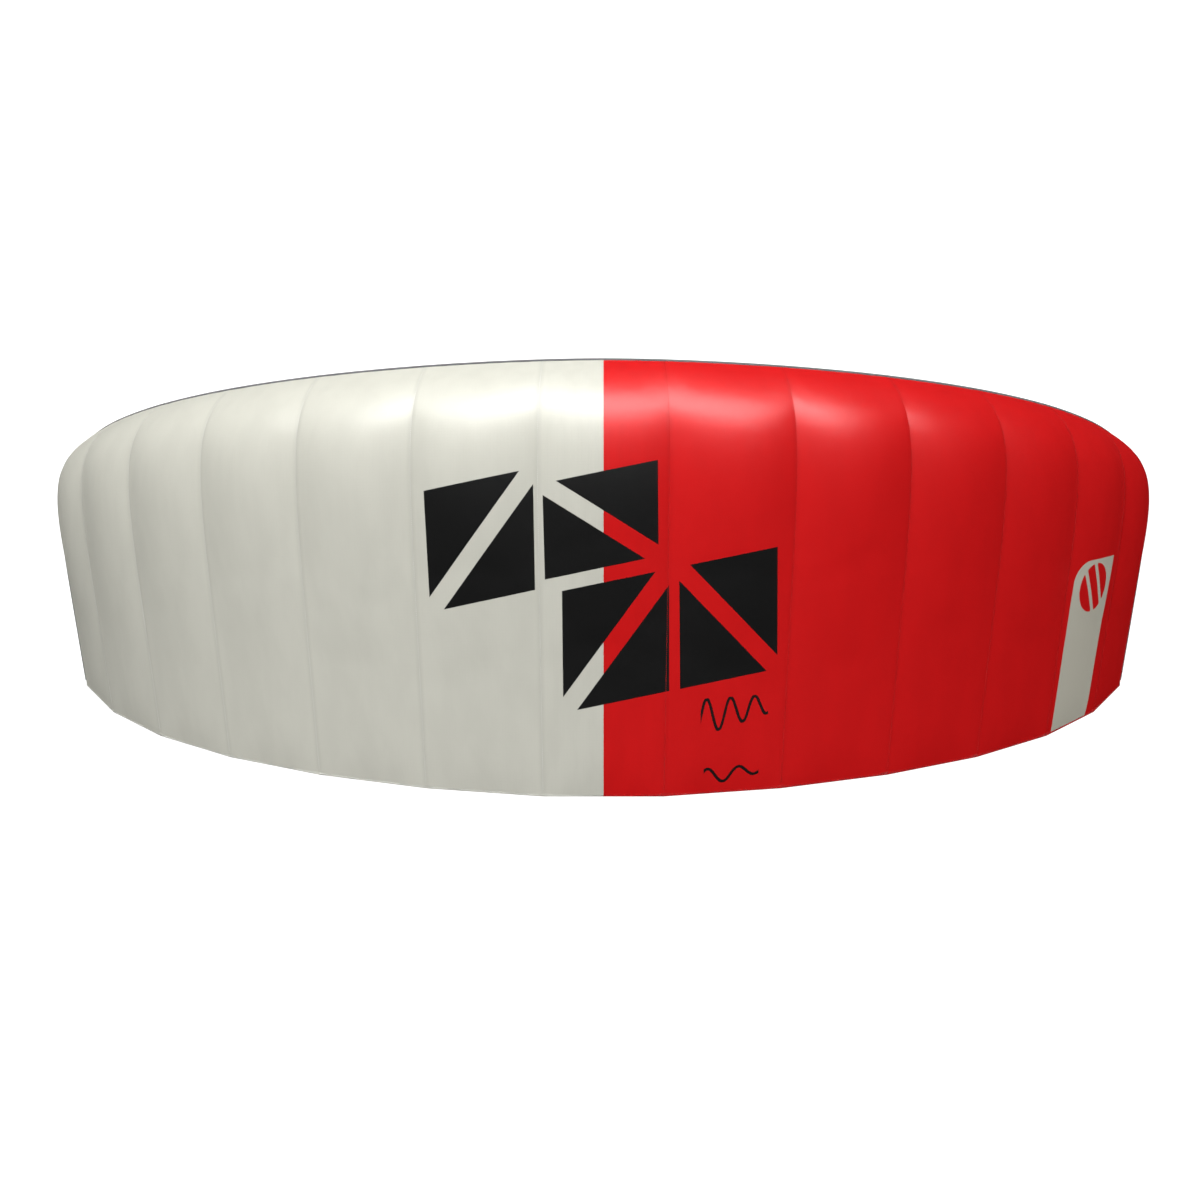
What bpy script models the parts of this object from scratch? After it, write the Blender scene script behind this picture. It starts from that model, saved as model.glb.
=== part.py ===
"""Ram-air foil kite: a thirteen-cell fabric wing, inflated to its flying arch and standing on its two tips.

Frame: +Y is forward, towards the leading edge, +X is the wing's right, +Z is up. The origin is the middle of
the wing's footprint, on the floor. Ribs and cells are numbered from the left tip to the right tip.
Units are metres. Run with: blender --background --python part.py
"""

import math
from collections import namedtuple

import bmesh
import bpy
from mathutils import Matrix, Vector

# Driving dimensions
CELLS = 13
FLAT_SPAN = 2.30  # along the chord line of the arch, tip to tip
ROOT_CHORD = 0.70
TIP_ANGLE = math.radians(74)  # how far the tip ribs lean over
CELL_TAPER = 0.25  # how much narrower a cell would be at the very tip

# Outline, as shares of half the root chord that each edge gives up at the tip
NOSE_SWEEP = 0.33
TAIL_SWEEP = 0.486
SWEEP_POWER = 1.7

# Section, as shares of the chord. A higher nose power makes a skin's first stretch more pointed
UPPER_RISE = 0.118
UPPER_NOSE = (0.105, 0.95)  # (length, power)
LOWER_RISE = 0.052
LOWER_NOSE = (0.030, 0.80)
INTAKE_END = 0.075  # the lower lip of the air intake
LIP_GAP = 0.002  # from there to the lower skin, as a share of the chord
NET_MARGIN = 0.03  # how far a net stays from both lips, as a share of the intake's height

# Cloth, modelled thicker than it is so that it stays a solid
CLOTH = 0.0006
GAP = 0.0004  # between pieces that are sewn together
RIB_INSET = 0.0013  # from a skin's outer face to a rib's edge
UPPER_BILLOW = 0.085  # how far a skin bulges between ribs, as a share of the cell's width
LOWER_BILLOW = 0.05
BILLOW_POWER = 0.6  # under 1 brings the fullest place forward

# Trailing edge
TAPE_DEPTH = 0.010
TAPE_THICKNESS = 0.0018
RIB_TAIL = 0.025  # a rib stops this far short of the trailing edge

# Cross-vent holes in the inner ribs: place along the chord, and radius as a share of the rib's height there
VENT_PLACES = (0.17, 0.34, 0.52)
VENT_SHARE = 0.27
VENT_POINTS = 12

# The wing flexes at four ribs. The cell outboard of such a rib starts clear of it, so that it can turn
FLEX_RIBS = (2.5, 4.5)
FLEX_CLEARANCE = 0.012
SECTIONS = {
    "left_tip": range(-6, -4),
    "left_mid": range(-4, -2),
    "centre": range(-2, 3),
    "right_mid": range(3, 5),
    "right_tip": range(5, 7),
}

# Bridle: a narrow tape under every second rib, with a loop of folded webbing at each row of lines
LOADED_RIBS = (0.5, 2.5, 4.5, 6.5)
BRIDLE_ROWS = (0.12, 0.37, 0.68)  # places along the chord
BRIDLE_TAPE = (0.07, 0.71)  # from and to, along the chord
BRIDLE_TAPE_WIDTH = 0.006
BRIDLE_TAPE_THICKNESS = 0.001
BRIDLE_TAPE_STEPS = 12
BRIDLE_STANDOFF = 0.0018  # from the skin to the tape's middle, over the bulge of the cells beside it
TIP_BRIDLE_INSET = 0.014  # a tip bridle is sewn this far in from the tip rib
LOOP_HOLE = 0.005  # radius
WEBBING = 0.0016
WEBBING_WIDTH = 0.012
NECK_WIDTH = 0.0032
NECK_LENGTH = 0.004
LOOP_POINTS = 12

# Grid fineness
UPPER_STEPS = 12
LOWER_STEPS = 8
SPAN_STEPS = 4
UPPER_PACE = 1.7  # over 1 brings the points closer together towards the nose
LOWER_PACE = 1.3

WHITE = (0.76, 0.76, 0.70)
RED = (0.70, 0.02, 0.02)
RIB_WHITE = (0.85, 0.85, 0.83)
TAPE_WHITE = (0.80, 0.80, 0.78)
BLACK = (0.02, 0.02, 0.02)
GREY = (0.35, 0.35, 0.36)

Rib = namedtuple("Rib", "place side x z angle nose chord")


def clear_scene():
    for obj in list(bpy.data.objects):
        bpy.data.objects.remove(obj)


def cloth_material(name, colour, roughness):
    """A Principled material: all of the kite is cloth or webbing, so nothing is metallic."""
    material = bpy.data.materials.new(name)
    material.use_nodes = True
    shader = material.node_tree.nodes["Principled BSDF"]
    shader.inputs["Base Color"].default_value = (*colour, 1)
    shader.inputs["Roughness"].default_value = roughness
    shader.inputs["Metallic"].default_value = 0
    material.diffuse_color = (*colour, 1)
    return material


# --- The wing's lines ---------------------------------------------------------------------------------------


def fullness(u, nose):
    """Height of a skin at u, from the nose (0) to the trailing edge (1), before it is scaled."""
    length, power = nose
    return (1 - u) * (1 - math.exp(-((u / length) ** power)))


UPPER_PEAK = max(fullness(step / 400, UPPER_NOSE) for step in range(401))
LOWER_PEAK = max(fullness(step / 400, LOWER_NOSE) for step in range(401))


def height(u, upper):
    """Height of a skin above the chord line, as a share of the chord; negative below it."""
    if upper:
        return UPPER_RISE * fullness(u, UPPER_NOSE) / UPPER_PEAK
    return -LOWER_RISE * fullness(u, LOWER_NOSE) / LOWER_PEAK


def edge_lines(share):
    """(y of the nose, y of the trailing edge) at a share of the half span."""
    drop = share**SWEEP_POWER
    return ROOT_CHORD / 2 * (1 - NOSE_SWEEP * drop), -ROOT_CHORD / 2 * (1 - TAIL_SWEEP * drop)


def build_ribs():
    """The ribs by signed place: 0.5 is the first rib right of the middle, and -6.5 is the left tip."""
    half = CELLS / 2
    shares = [1 - CELL_TAPER * (cell / half) ** 2 for cell in range(CELLS // 2 + 1)]
    unit = FLAT_SPAN / (2 * sum(shares) - 1)
    x = z = 0.0
    places = []
    for cell, share in enumerate(shares):
        place = cell + 0.5
        width = unit * share * (0.5 if cell == 0 else 1)
        lean = TIP_ANGLE * cell / half
        x += width * math.cos(lean)
        z -= width * math.sin(lean)
        places.append((place, x, z))
    nose, tail = edge_lines(1)
    lowest = places[-1][2] - LOWER_RISE * (nose - tail) * math.cos(TIP_ANGLE)
    middle = sum(edge_lines(places[0][0] / half)) / 2
    ribs = {}
    for place, x, z in places:
        nose, tail = edge_lines(place / half)
        for side in (-1, 1):
            angle = side * TIP_ANGLE * place / half
            ribs[side * place] = Rib(side * place, side, side * x, z - lowest, angle, nose - middle, nose - tail)
    return ribs


RIBS = build_ribs()
TIP_PLACE = max(RIBS)


def rib_number(rib):
    return int(rib.place + CELLS / 2 + 1)


def outward(angle):
    """The direction out of the wing's upper side, where the arch leans by angle."""
    return Vector((math.sin(angle), 0, math.cos(angle)))


def on_section(rib, u, rise):
    """A point of a rib's section at u, rise metres above the chord line."""
    return Vector((rib.x, rib.nose - u * rib.chord, rib.z)) + outward(rib.angle) * rise


def on_skin(rib, u, upper):
    return on_section(rib, u, rib.chord * height(u, upper))


def from_tail(rib, distance):
    """The place along a rib's chord that is this far from its trailing edge."""
    return 1 - distance / rib.chord


def skin_stations(rib, upper):
    """The places of a skin's points along a rib, from the front to the rear."""
    front = 0 if upper else INTAKE_END + LIP_GAP
    run = from_tail(rib, TAPE_DEPTH + GAP) - front
    steps, pace = (UPPER_STEPS, UPPER_PACE) if upper else (LOWER_STEPS, LOWER_PACE)
    return [front + run * (step / steps) ** pace for step in range(steps + 1)]


# --- Helpers that make objects ------------------------------------------------------------------------------


def add_object(name, data, material, collection, matrix=None):
    data.materials.append(material)
    obj = bpy.data.objects.new(name, data)
    obj.matrix_world = matrix or Matrix.Identity(4)
    collection.objects.link(obj)
    return obj


def solid_sheet(name, grid, thickness, offset, material, collection):
    """A grid of cloth, given its thickness by Solidify. grid is (across, along, place): how many squares each
    way, and a function that gives a point's place from its shares of the way across and along."""
    across, along, place = grid
    mesh = bmesh.new()
    bmesh.ops.create_grid(mesh, x_segments=across, y_segments=along, size=0.5)
    for vertex in mesh.verts:
        vertex.co = place(vertex.co.x + 0.5, vertex.co.y + 0.5)
    data = bpy.data.meshes.new(name)
    mesh.to_mesh(data)
    mesh.free()
    obj = add_object(name, data, material, collection)
    solidify = obj.modifiers.new("Cloth thickness", "SOLIDIFY")
    solidify.thickness = thickness
    solidify.offset = offset
    return obj


def flat_curve(name, outlines, half_thickness):
    """A filled flat shape. The first outline is the outer one, and the rest are holes."""
    curve = bpy.data.curves.new(name, "CURVE")
    curve.dimensions = "2D"
    curve.fill_mode = "BOTH"
    curve.extrude = half_thickness
    for outline in outlines:
        spline = curve.splines.new("POLY")
        spline.points.add(len(outline) - 1)
        spline.use_cyclic_u = True
        for point, (x, y) in zip(spline.points, outline):
            point.co = (x, y, 0, 1)
    return curve


def closed_mesh_of(obj):
    """The object's evaluated mesh with its loose caps welded on. The object itself is removed."""
    graph = bpy.context.evaluated_depsgraph_get()
    data = bpy.data.meshes.new_from_object(obj.evaluated_get(graph))
    welded = bmesh.new()
    welded.from_mesh(data)
    bmesh.ops.remove_doubles(welded, verts=welded.verts, dist=0.00001)
    bmesh.ops.recalc_face_normals(welded, faces=welded.faces)
    welded.to_mesh(data)
    welded.free()
    bpy.data.objects.remove(obj)
    return data


def circle(x, y, radius, points):
    turn = 2 * math.pi / points
    return [(x + radius * math.cos(i * turn), y + radius * math.sin(i * turn)) for i in range(points)]


# --- Ribs ---------------------------------------------------------------------------------------------------


def inset(outline, distance):
    """A closed outline of points, running anticlockwise, with each side moved inwards by distance."""
    moved = []
    for before, here, after in zip(outline[-1:] + outline[:-1], outline, outline[1:] + outline[:1]):
        sides = [(here - before).normalized(), (after - here).normalized()]
        normals = [Vector((-side.y, side.x)) for side in sides]
        moved.append(here + (normals[0] + normals[1]) * distance / (1 + normals[0].dot(normals[1])))
    return moved


def rib_edge(rib, upper):
    """A rib's line under one skin, front to rear, on the straight lines between the skin's points."""
    end = rib.chord - RIB_TAIL
    points = [Vector((u, height(u, upper))) * rib.chord for u in skin_stations(rib, upper)]
    edge = [point for point in points if point.x < end]
    before, after = edge[-1], points[len(edge)]
    return [*edge, before.lerp(after, (end - before.x) / (after.x - before.x))]


def rib_outline(rib):
    """The section as a flat outline with x from the nose to the tail. The intake is a straight cut."""
    points = rib_edge(rib, True)[::-1] + rib_edge(rib, False)
    return inset(points, RIB_INSET)


def vent_holes(rib):
    if abs(rib.place) == TIP_PLACE:
        return []
    holes = []
    for u in VENT_PLACES:
        top, bottom = height(u, True), height(u, False)
        middle = (top + bottom) / 2 * rib.chord
        holes.append(circle(u * rib.chord, middle, VENT_SHARE * (top - bottom) * rib.chord, VENT_POINTS))
    return holes


def rib_matrix(rib):
    """Takes a flat outline (x towards the tail, y outwards) to the rib's plane."""
    up = outward(rib.angle)
    back = Vector((0, -1, 0))
    axes = Matrix((back, up, back.cross(up))).transposed().to_4x4()
    return Matrix.Translation((rib.x, rib.nose, rib.z)) @ axes


def add_rib(rib, material, collection):
    name = f"rib_{rib_number(rib):02d}"
    curve = flat_curve(name, [rib_outline(rib), *vent_holes(rib)], CLOTH / 2)
    add_object(name, curve, material, collection, rib_matrix(rib))


# --- Skins --------------------------------------------------------------------------------------------------


def cell_ribs(cell):
    return RIBS[cell - 0.5], RIBS[cell + 0.5]


def cell_width(cell):
    left, right = cell_ribs(cell)
    return math.hypot(right.x - left.x, right.z - left.z)


def cell_edges(cell):
    """(v at the left edge, v at the right edge) of a cell's cloth, clear of a flexing seam or a neighbour."""
    small, wide = GAP / 2 / cell_width(cell), FLEX_CLEARANCE / cell_width(cell)
    return (
        wide if cell > 0 and cell - 0.5 in FLEX_RIBS else small,
        1 - (wide if cell < 0 and -cell - 0.5 in FLEX_RIBS else small),
    )


def skin_point(cell, u, v, upper):
    """A point of a skin's outer face, v across the cell from its left rib to its right one."""
    left, right = cell_ribs(cell)
    share = UPPER_BILLOW if upper else -LOWER_BILLOW
    bulge = share * cell_width(cell) * math.sin(math.pi * u**BILLOW_POWER) ** 2 * 4 * v * (1 - v)
    straight = on_skin(left, u, upper).lerp(on_skin(right, u, upper), v)
    return straight + outward((left.angle + right.angle) / 2) * bulge


def skin_grid(cell, v_span, upper):
    """A skin's grid, facing outwards. The upper skin runs to the nose, and the lower one to the intake."""
    v0, v1 = v_span
    ends = [skin_stations(rib, upper) for rib in cell_ribs(cell)]
    steps = len(ends[0]) - 1

    def place(across, along):
        v = v0 + (v1 - v0) * across
        left, right = (stations[round(steps * (1 - along if upper else along))] for stations in ends)
        return skin_point(cell, left + (right - left) * v, v, upper)

    return max(2, round(SPAN_STEPS * (v1 - v0))), steps, place


def add_skins(white, red, under, collection):
    """Upper and lower panels of each cell. The middle cell's upper skin is half white and half red."""
    half_gap = GAP / 2 / cell_width(0)
    for cell in range(-(CELLS // 2), CELLS // 2 + 1):
        number = cell + CELLS // 2 + 1
        first, last = cell_edges(cell)
        uppers = {f"upper_panel_{number:02d}": (first, last, white if cell < 0 else red)}
        if cell == 0:
            uppers = {
                f"upper_panel_{number:02d}_white": (first, 0.5 - half_gap, white),
                f"upper_panel_{number:02d}_red": (0.5 + half_gap, last, red),
            }
        for name, (v0, v1, material) in uppers.items():
            solid_sheet(name, skin_grid(cell, (v0, v1), True), CLOTH, -1, material, collection)
        name = f"lower_panel_{number:02d}"
        solid_sheet(name, skin_grid(cell, (first, last), False), CLOTH, -1, under, collection)


# --- Nets and hem tapes, which run over all the cells of a section ------------------------------------------


def section_place(cells):
    """A function of 0 to 1 along a section: (cell, v). It gives each rib, and a section's ends keep clear."""
    first, last = cell_edges(cells[0])[0], cell_edges(cells[-1])[1]
    corners = [(cells[0], first), *((cell, 0) for cell in cells[1:]), (cells[-1], last)]
    return lambda share: corners[round(share * len(cells))]


def intake_net_grid(cells):
    """The net over a section's air intakes, on the straight line from the nose to the lower lip."""
    corner = section_place(cells)

    def place(across, along):
        cell, v = corner(across)
        left, right = cell_ribs(cell)
        nose = on_skin(left, 0, True).lerp(on_skin(right, 0, True), v)
        lip = on_skin(left, INTAKE_END, False).lerp(on_skin(right, INTAKE_END, False), v)
        return nose.lerp(lip, NET_MARGIN + (1 - 2 * NET_MARGIN) * along)

    return len(cells), 1, place


def hem_tape_grid(cells):
    """The tape folded over a section's trailing edge, with a corner at each rib."""
    corner = section_place(cells)

    def place(across, along):
        cell, v = corner(across)
        front = [on_section(rib, from_tail(rib, TAPE_DEPTH * along), 0) for rib in cell_ribs(cell)]
        return front[0].lerp(front[1], v)

    return len(cells), 1, place


# --- Bridle tapes -------------------------------------------------------------------------------------------


def under_rib(rib, u):
    """The middle of a bridle tape at u, below the lower skin. A tip rib's tape is sewn a little inboard."""
    point = on_skin(rib, u, False)
    if abs(rib.place) == TIP_PLACE:
        cell = rib.side * (CELLS // 2)
        inset = TIP_BRIDLE_INSET / cell_width(cell)
        point = skin_point(cell, u, 1 - inset if rib.side > 0 else inset, False)
    return point - outward(rib.angle) * BRIDLE_STANDOFF


def bridle_tape_grid(rib):
    start, end = BRIDLE_TAPE
    side = outward(rib.angle).cross(Vector((0, -1, 0))) * BRIDLE_TAPE_WIDTH

    def place(across, along):
        return under_rib(rib, start + (end - start) * along) + side * (across - 0.5)

    return 1, BRIDLE_TAPE_STEPS, place


def loop_mesh():
    """One bridle loop: a neck of two layers of webbing that opens into a ring. Its top is at y = 0."""
    outer = LOOP_HOLE + WEBBING
    centre = -NECK_LENGTH - outer
    start = math.asin(NECK_WIDTH / 2 / outer)
    sweep = 2 * (math.pi - start) / (LOOP_POINTS - 1)
    ring = [math.pi / 2 + start + step * sweep for step in range(LOOP_POINTS)]
    outline = [(-NECK_WIDTH / 2, 0)]
    outline += [(outer * math.cos(turn), centre + outer * math.sin(turn)) for turn in ring]
    outline += [(NECK_WIDTH / 2, 0)]
    curve = flat_curve("loop", [outline, circle(0, centre, LOOP_HOLE, LOOP_POINTS)], WEBBING_WIDTH / 2)
    obj = bpy.data.objects.new("loop", curve)
    bpy.context.scene.collection.objects.link(obj)
    return closed_mesh_of(obj)


def add_bridle_tape(rib, loop, material, collection, cutters):
    """The tape with its loops joined on. The loops themselves stay as hidden helpers."""
    name = f"bridle_tape_{rib_number(rib):02d}"
    tape = solid_sheet(name, bridle_tape_grid(rib), BRIDLE_TAPE_THICKNESS, 0, material, collection)
    up, back = outward(rib.angle), Vector((0, -1, 0))
    axes = Matrix((up.cross(back), up, back)).transposed().to_4x4()
    for row, u in enumerate(BRIDLE_ROWS):
        helper = bpy.data.objects.new(f"{name}_loop_{row}", loop)
        helper.matrix_world = Matrix.Translation(under_rib(rib, u)) @ axes
        helper.hide_render = True
        helper.display_type = "WIRE"
        cutters.objects.link(helper)
        join = tape.modifiers.new(f"Loop {row}", "BOOLEAN")
        join.operation = "UNION"
        join.object = helper


# --- The whole kite -----------------------------------------------------------------------------------------


def main():
    clear_scene()
    kite = bpy.data.collections.new("foil_kite")
    cutters = bpy.data.collections.new("cutters")
    bpy.context.scene.collection.children.link(kite)
    bpy.context.scene.collection.children.link(cutters)
    white = cloth_material("white ripstop", WHITE, 0.4)
    red = cloth_material("red ripstop", RED, 0.4)
    rib_cloth = cloth_material("rib cloth", RIB_WHITE, 0.6)
    webbing = cloth_material("black webbing", BLACK, 0.8)
    net = cloth_material("intake net", GREY, 0.9)
    tape = cloth_material("hem tape", TAPE_WHITE, 0.6)

    loop = loop_mesh()
    loop.materials.append(webbing)
    for rib in RIBS.values():
        add_rib(rib, rib_cloth, kite)
        if abs(rib.place) in LOADED_RIBS:
            add_bridle_tape(rib, loop, webbing, kite, cutters)
    add_skins(white, red, white, kite)
    for section, cells in SECTIONS.items():
        solid_sheet(f"intake_net_{section}", intake_net_grid(cells), CLOTH, -1, net, kite)
        solid_sheet(f"hem_tape_{section}", hem_tape_grid(cells), TAPE_THICKNESS, 0, tape, kite)


main()
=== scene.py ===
import math
from collections import namedtuple

import bmesh
import bpy
import numpy as np
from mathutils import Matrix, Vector


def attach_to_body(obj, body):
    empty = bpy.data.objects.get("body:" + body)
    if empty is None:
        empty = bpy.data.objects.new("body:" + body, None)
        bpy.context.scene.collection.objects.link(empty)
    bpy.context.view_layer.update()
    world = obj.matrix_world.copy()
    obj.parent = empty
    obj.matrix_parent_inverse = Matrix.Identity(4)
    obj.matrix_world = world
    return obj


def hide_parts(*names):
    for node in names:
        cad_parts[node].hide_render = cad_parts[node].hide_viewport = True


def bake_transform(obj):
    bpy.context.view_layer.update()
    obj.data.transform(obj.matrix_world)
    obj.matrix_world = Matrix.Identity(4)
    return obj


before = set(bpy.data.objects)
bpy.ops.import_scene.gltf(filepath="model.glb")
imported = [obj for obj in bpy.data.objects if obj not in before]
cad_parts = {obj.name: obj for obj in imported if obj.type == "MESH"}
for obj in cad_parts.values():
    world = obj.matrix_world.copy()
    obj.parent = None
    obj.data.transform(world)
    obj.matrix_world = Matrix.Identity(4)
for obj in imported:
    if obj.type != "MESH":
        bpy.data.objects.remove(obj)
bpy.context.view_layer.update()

# The looks of a ram-air foil kite: a fabric wing of thirteen cells, inflated and standing on its tips.
# +Y is forward, +X is the wing's right, +Z is up, in metres. Cells count from the middle one, which is 0, and
# a rib's place is in cells from the middle: 0.5 is the first rib on the right.

# The wing's lines, as in the CAD
CELLS = 13
FLAT_SPAN = 2.30
ROOT_CHORD = 0.70
TIP_ANGLE = math.radians(74)
CELL_TAPER = 0.25
NOSE_SWEEP = 0.33
TAIL_SWEEP = 0.486
SWEEP_POWER = 1.7
UPPER_RISE = 0.118
UPPER_NOSE = (0.105, 0.95)
LOWER_RISE = 0.052
LOWER_NOSE = (0.030, 0.80)
INTAKE_END = 0.075
UPPER_BILLOW = 0.102
LOWER_BILLOW = 0.05
BILLOW_POWER = 0.6
NOSE_ARC = 0.025  # how far the nose of a cell curves out from the straight line between its ribs
LOADED_RIBS = (0.5, 2.5, 4.5, 6.5)
BRIDLE_ROWS = (0.12, 0.37, 0.68)

# Sewn details, in metres
LIP_WIDTH, LIP_THICKNESS = 0.0060, 0.0016
NET_PITCH, NET_THREAD, NET_SWELL = 0.0038, 0.0007, 0.004
HEM_DEPTH, HEM_THICKNESS = 0.010, 0.0018
PIPING = 0.0022
TIP_SWELL, TIP_ROWS = 0.008, 16
BRIDLE_TAPE = (0.07, 0.71)
BRIDLE_STANDOFF = 0.0018
TIP_BRIDLE_INSET = 0.014
TAPE_WIDTH, TAPE_THICKNESS = 0.006, 0.001
LOOP_HOLE, WEBBING, WEBBING_WIDTH, NECK_LENGTH = 0.005, 0.0015, 0.012, 0.004
TAPE_STITCH = (0.0036, 0.0026)  # pitch and length of the stitches in tapes and bindings
SEAM_STITCH = (0.0034, 0.0024)
TACK_STITCH = (0.0020, 0.0019)
TAPE_ROW = 0.3  # how far a row of stitches is from a tape's middle, in tape widths
THREAD_WIDTH, THREAD_RISE = 0.0005, 0.0003
LIP_STEPS, HEM_STEPS = 24, 12  # points to a cell along a lip of the intakes, and along the trailing edge

# The cloth simulation
SIM_ACROSS = 20  # squares to a cell
SIM_ALONG = 64
SIM_FRAMES = 24
SPARE_CLOTH = 0.002  # how much larger the cloth is cut than the shape it starts from
PRESSURE = 6.0
SIM_LIMIT = 0.012  # how far a point may move
SIM_SMOOTHING = 2

# Fineness of the finished skins, in squares to each simulated square
SKIN_FINENESS = 2
PRINTED_FINENESS = 4

HALF = CELLS // 2
Rib = namedtuple("Rib", "place side x z angle nose chord")


# --- The wing's lines -----------------------------------------------------------------------------


def fullness(u, nose):
    length, power = nose
    return (1 - u) * (1 - np.exp(-((u / length) ** power)))


UPPER_PEAK = fullness(np.linspace(0, 1, 401), UPPER_NOSE).max()
LOWER_PEAK = fullness(np.linspace(0, 1, 401), LOWER_NOSE).max()


def height(u, upper):
    """Height of a skin above the chord line, as a share of the chord; negative below it."""
    if upper:
        return UPPER_RISE * fullness(u, UPPER_NOSE) / UPPER_PEAK
    return -LOWER_RISE * fullness(u, LOWER_NOSE) / LOWER_PEAK


def edge_lines(share):
    """(y of the nose, y of the trailing edge) at a share of the half span, before centring."""
    drop = share**SWEEP_POWER
    return ROOT_CHORD / 2 * (1 - NOSE_SWEEP * drop), -ROOT_CHORD / 2 * (1 - TAIL_SWEEP * drop)


MIDDLE = sum(edge_lines(1 / CELLS)) / 2


def build_ribs():
    half = CELLS / 2
    shares = [1 - CELL_TAPER * (cell / half) ** 2 for cell in range(HALF + 1)]
    unit = FLAT_SPAN / (2 * sum(shares) - 1)
    x = z = 0.0
    places = []
    for cell, share in enumerate(shares):
        width = unit * share * (0.5 if cell == 0 else 1)
        lean = TIP_ANGLE * cell / half
        x += width * math.cos(lean)
        z -= width * math.sin(lean)
        places.append((cell + 0.5, x, z))
    nose, tail = edge_lines(1)
    lowest = places[-1][2] - LOWER_RISE * (nose - tail) * math.cos(TIP_ANGLE)
    ribs = {}
    for place, x, z in places:
        nose, tail = edge_lines(place / half)
        for side in (-1, 1):
            angle = side * TIP_ANGLE * place / half
            front, chord = nose - MIDDLE, nose - tail
            ribs[side * place] = Rib(side * place, side, side * x, z - lowest, angle, front, chord)
    return ribs


RIBS = build_ribs()


def outward(angle):
    return np.array((math.sin(angle), 0, math.cos(angle)))


def along_span(angle):
    """The direction across the cells, towards +X, where the arch leans by angle."""
    return np.array((math.cos(angle), 0, -math.sin(angle)))


def cell_ribs(cell):
    return RIBS[cell - 0.5], RIBS[cell + 0.5]


def cell_angle(cell):
    return TIP_ANGLE * cell / (CELLS / 2)


def cell_width(cell):
    left, right = cell_ribs(cell)
    return math.hypot(right.x - left.x, right.z - left.z)


def rib_points(rib, u, rise):
    """Points of a rib's plane, u along its chord and rise metres above the chord line, as rows of x, y, z."""
    u = np.asarray(u, float)
    base = np.stack((np.full_like(u, rib.x), rib.nose - u * rib.chord, np.full_like(u, rib.z)), -1)
    return base + np.asarray(rise)[..., None] * outward(rib.angle)


def cell_points(cell, u, v, rise_share, bulge):
    """Points between a cell's two ribs. rise_share is in chords, and bulge in metres outwards."""
    left, right = cell_ribs(cell)
    a = rib_points(left, u, rise_share * left.chord)
    b = rib_points(right, u, rise_share * right.chord)
    points = a + (b - a) * v[..., None] + bulge[..., None] * outward(cell_angle(cell))
    place = np.abs(cell - 0.5 + v) / (CELLS / 2)
    straight = left.nose + (right.nose - left.nose) * v
    points[..., 1] += (edge_lines(place)[0] - MIDDLE - straight) * (1 - u) ** 3
    return points


def skin_points(cell, u, v, upper):
    """Points of a skin, as cut and before the simulation."""
    share = UPPER_BILLOW if upper else -LOWER_BILLOW
    across = 4 * v * (1 - v) * cell_width(cell)
    bulge = share * np.sin(np.pi * u**BILLOW_POWER) ** 2 * across + NOSE_ARC * (1 - u) ** 4 * across
    return cell_points(cell, u, v, height(u, upper), bulge)


def sections():
    """(name, body, cells) of the stretches that move as one. A flexing cell is one of its own."""
    yield "centre", "centre", range(-2, 3)
    for side, sign in (("left", -1), ("right", 1)):
        yield f"{side}_inner_flex", ("centre", f"{side}_mid"), [3 * sign]
        yield f"{side}_mid", f"{side}_mid", [4 * sign]
        yield f"{side}_outer_flex", (f"{side}_mid", f"{side}_tip"), [5 * sign]
        yield f"{side}_tip", f"{side}_tip", [6 * sign]


BODY_OF_CELL = {cell: body for _, body, cells in sections() for cell in cells}


def attach(piece, cell, replaced=()):
    """Rides with the body of a cell; in a cell between two bodies it is left unparented with its transform
    baked. Hides the CAD nodes it stands for.
    """
    body = BODY_OF_CELL[cell]
    if isinstance(body, str):
        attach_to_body(piece, body)
    else:
        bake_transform(piece)
    if replaced:
        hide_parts(*replaced)
    return piece


# --- Materials ------------------------------------------------------------------------------------


class Nodes:
    """Short ways to make shader nodes in one material."""

    def __init__(self, name):
        self.material = bpy.data.materials.new(name)
        self.material.use_nodes = True
        self.tree = self.material.node_tree
        self.shader = self.tree.nodes["Principled BSDF"]

    def add(self, kind, inputs=None, **settings):
        node = self.tree.nodes.new(kind)
        for key, value in settings.items():
            setattr(node, key, value)
        for key, value in (inputs or {}).items():
            self.put(value, node.inputs[key])
        return node

    def put(self, value, socket):
        if isinstance(value, bpy.types.NodeSocket):
            self.tree.links.new(value, socket)
        else:
            socket.default_value = value

    def math(self, operation, *values):
        node = self.add("ShaderNodeMath", operation=operation)
        for value, socket in zip(values, node.inputs):
            self.put(value, socket)
        return node.outputs[0]

    def mix(self, factor, a, b):
        node = self.add("ShaderNodeMix", data_type="RGBA")
        for value, index in ((factor, 0), (a, 6), (b, 7)):
            self.put(value, node.inputs[index])
        return node.outputs[2]

    def ramp(self, value, low, high):
        """0 below low and 1 above high, with a smooth step between."""
        inputs = {"Value": value, "From Min": low, "From Max": high}
        return self.add("ShaderNodeMapRange", inputs, interpolation_type="SMOOTHSTEP").outputs[0]

    def attribute(self, name):
        return self.add("ShaderNodeAttribute", attribute_name=name).outputs["Fac"]

    def fold(self, operation, values):
        """One value from several, two at a time."""
        made = values[0]
        for value in values[1:]:
            made = self.math(operation, made, value)
        return made

    def noise(self, scale, detail=3.0, vector=None):
        inputs = {"Scale": scale, "Detail": detail}
        if vector is not None:
            inputs["Vector"] = vector
        return self.add("ShaderNodeTexNoise", inputs).outputs[0]


# --- Prints on the upper skin: plain shapes, in the plan view from above --------------------------


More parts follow.
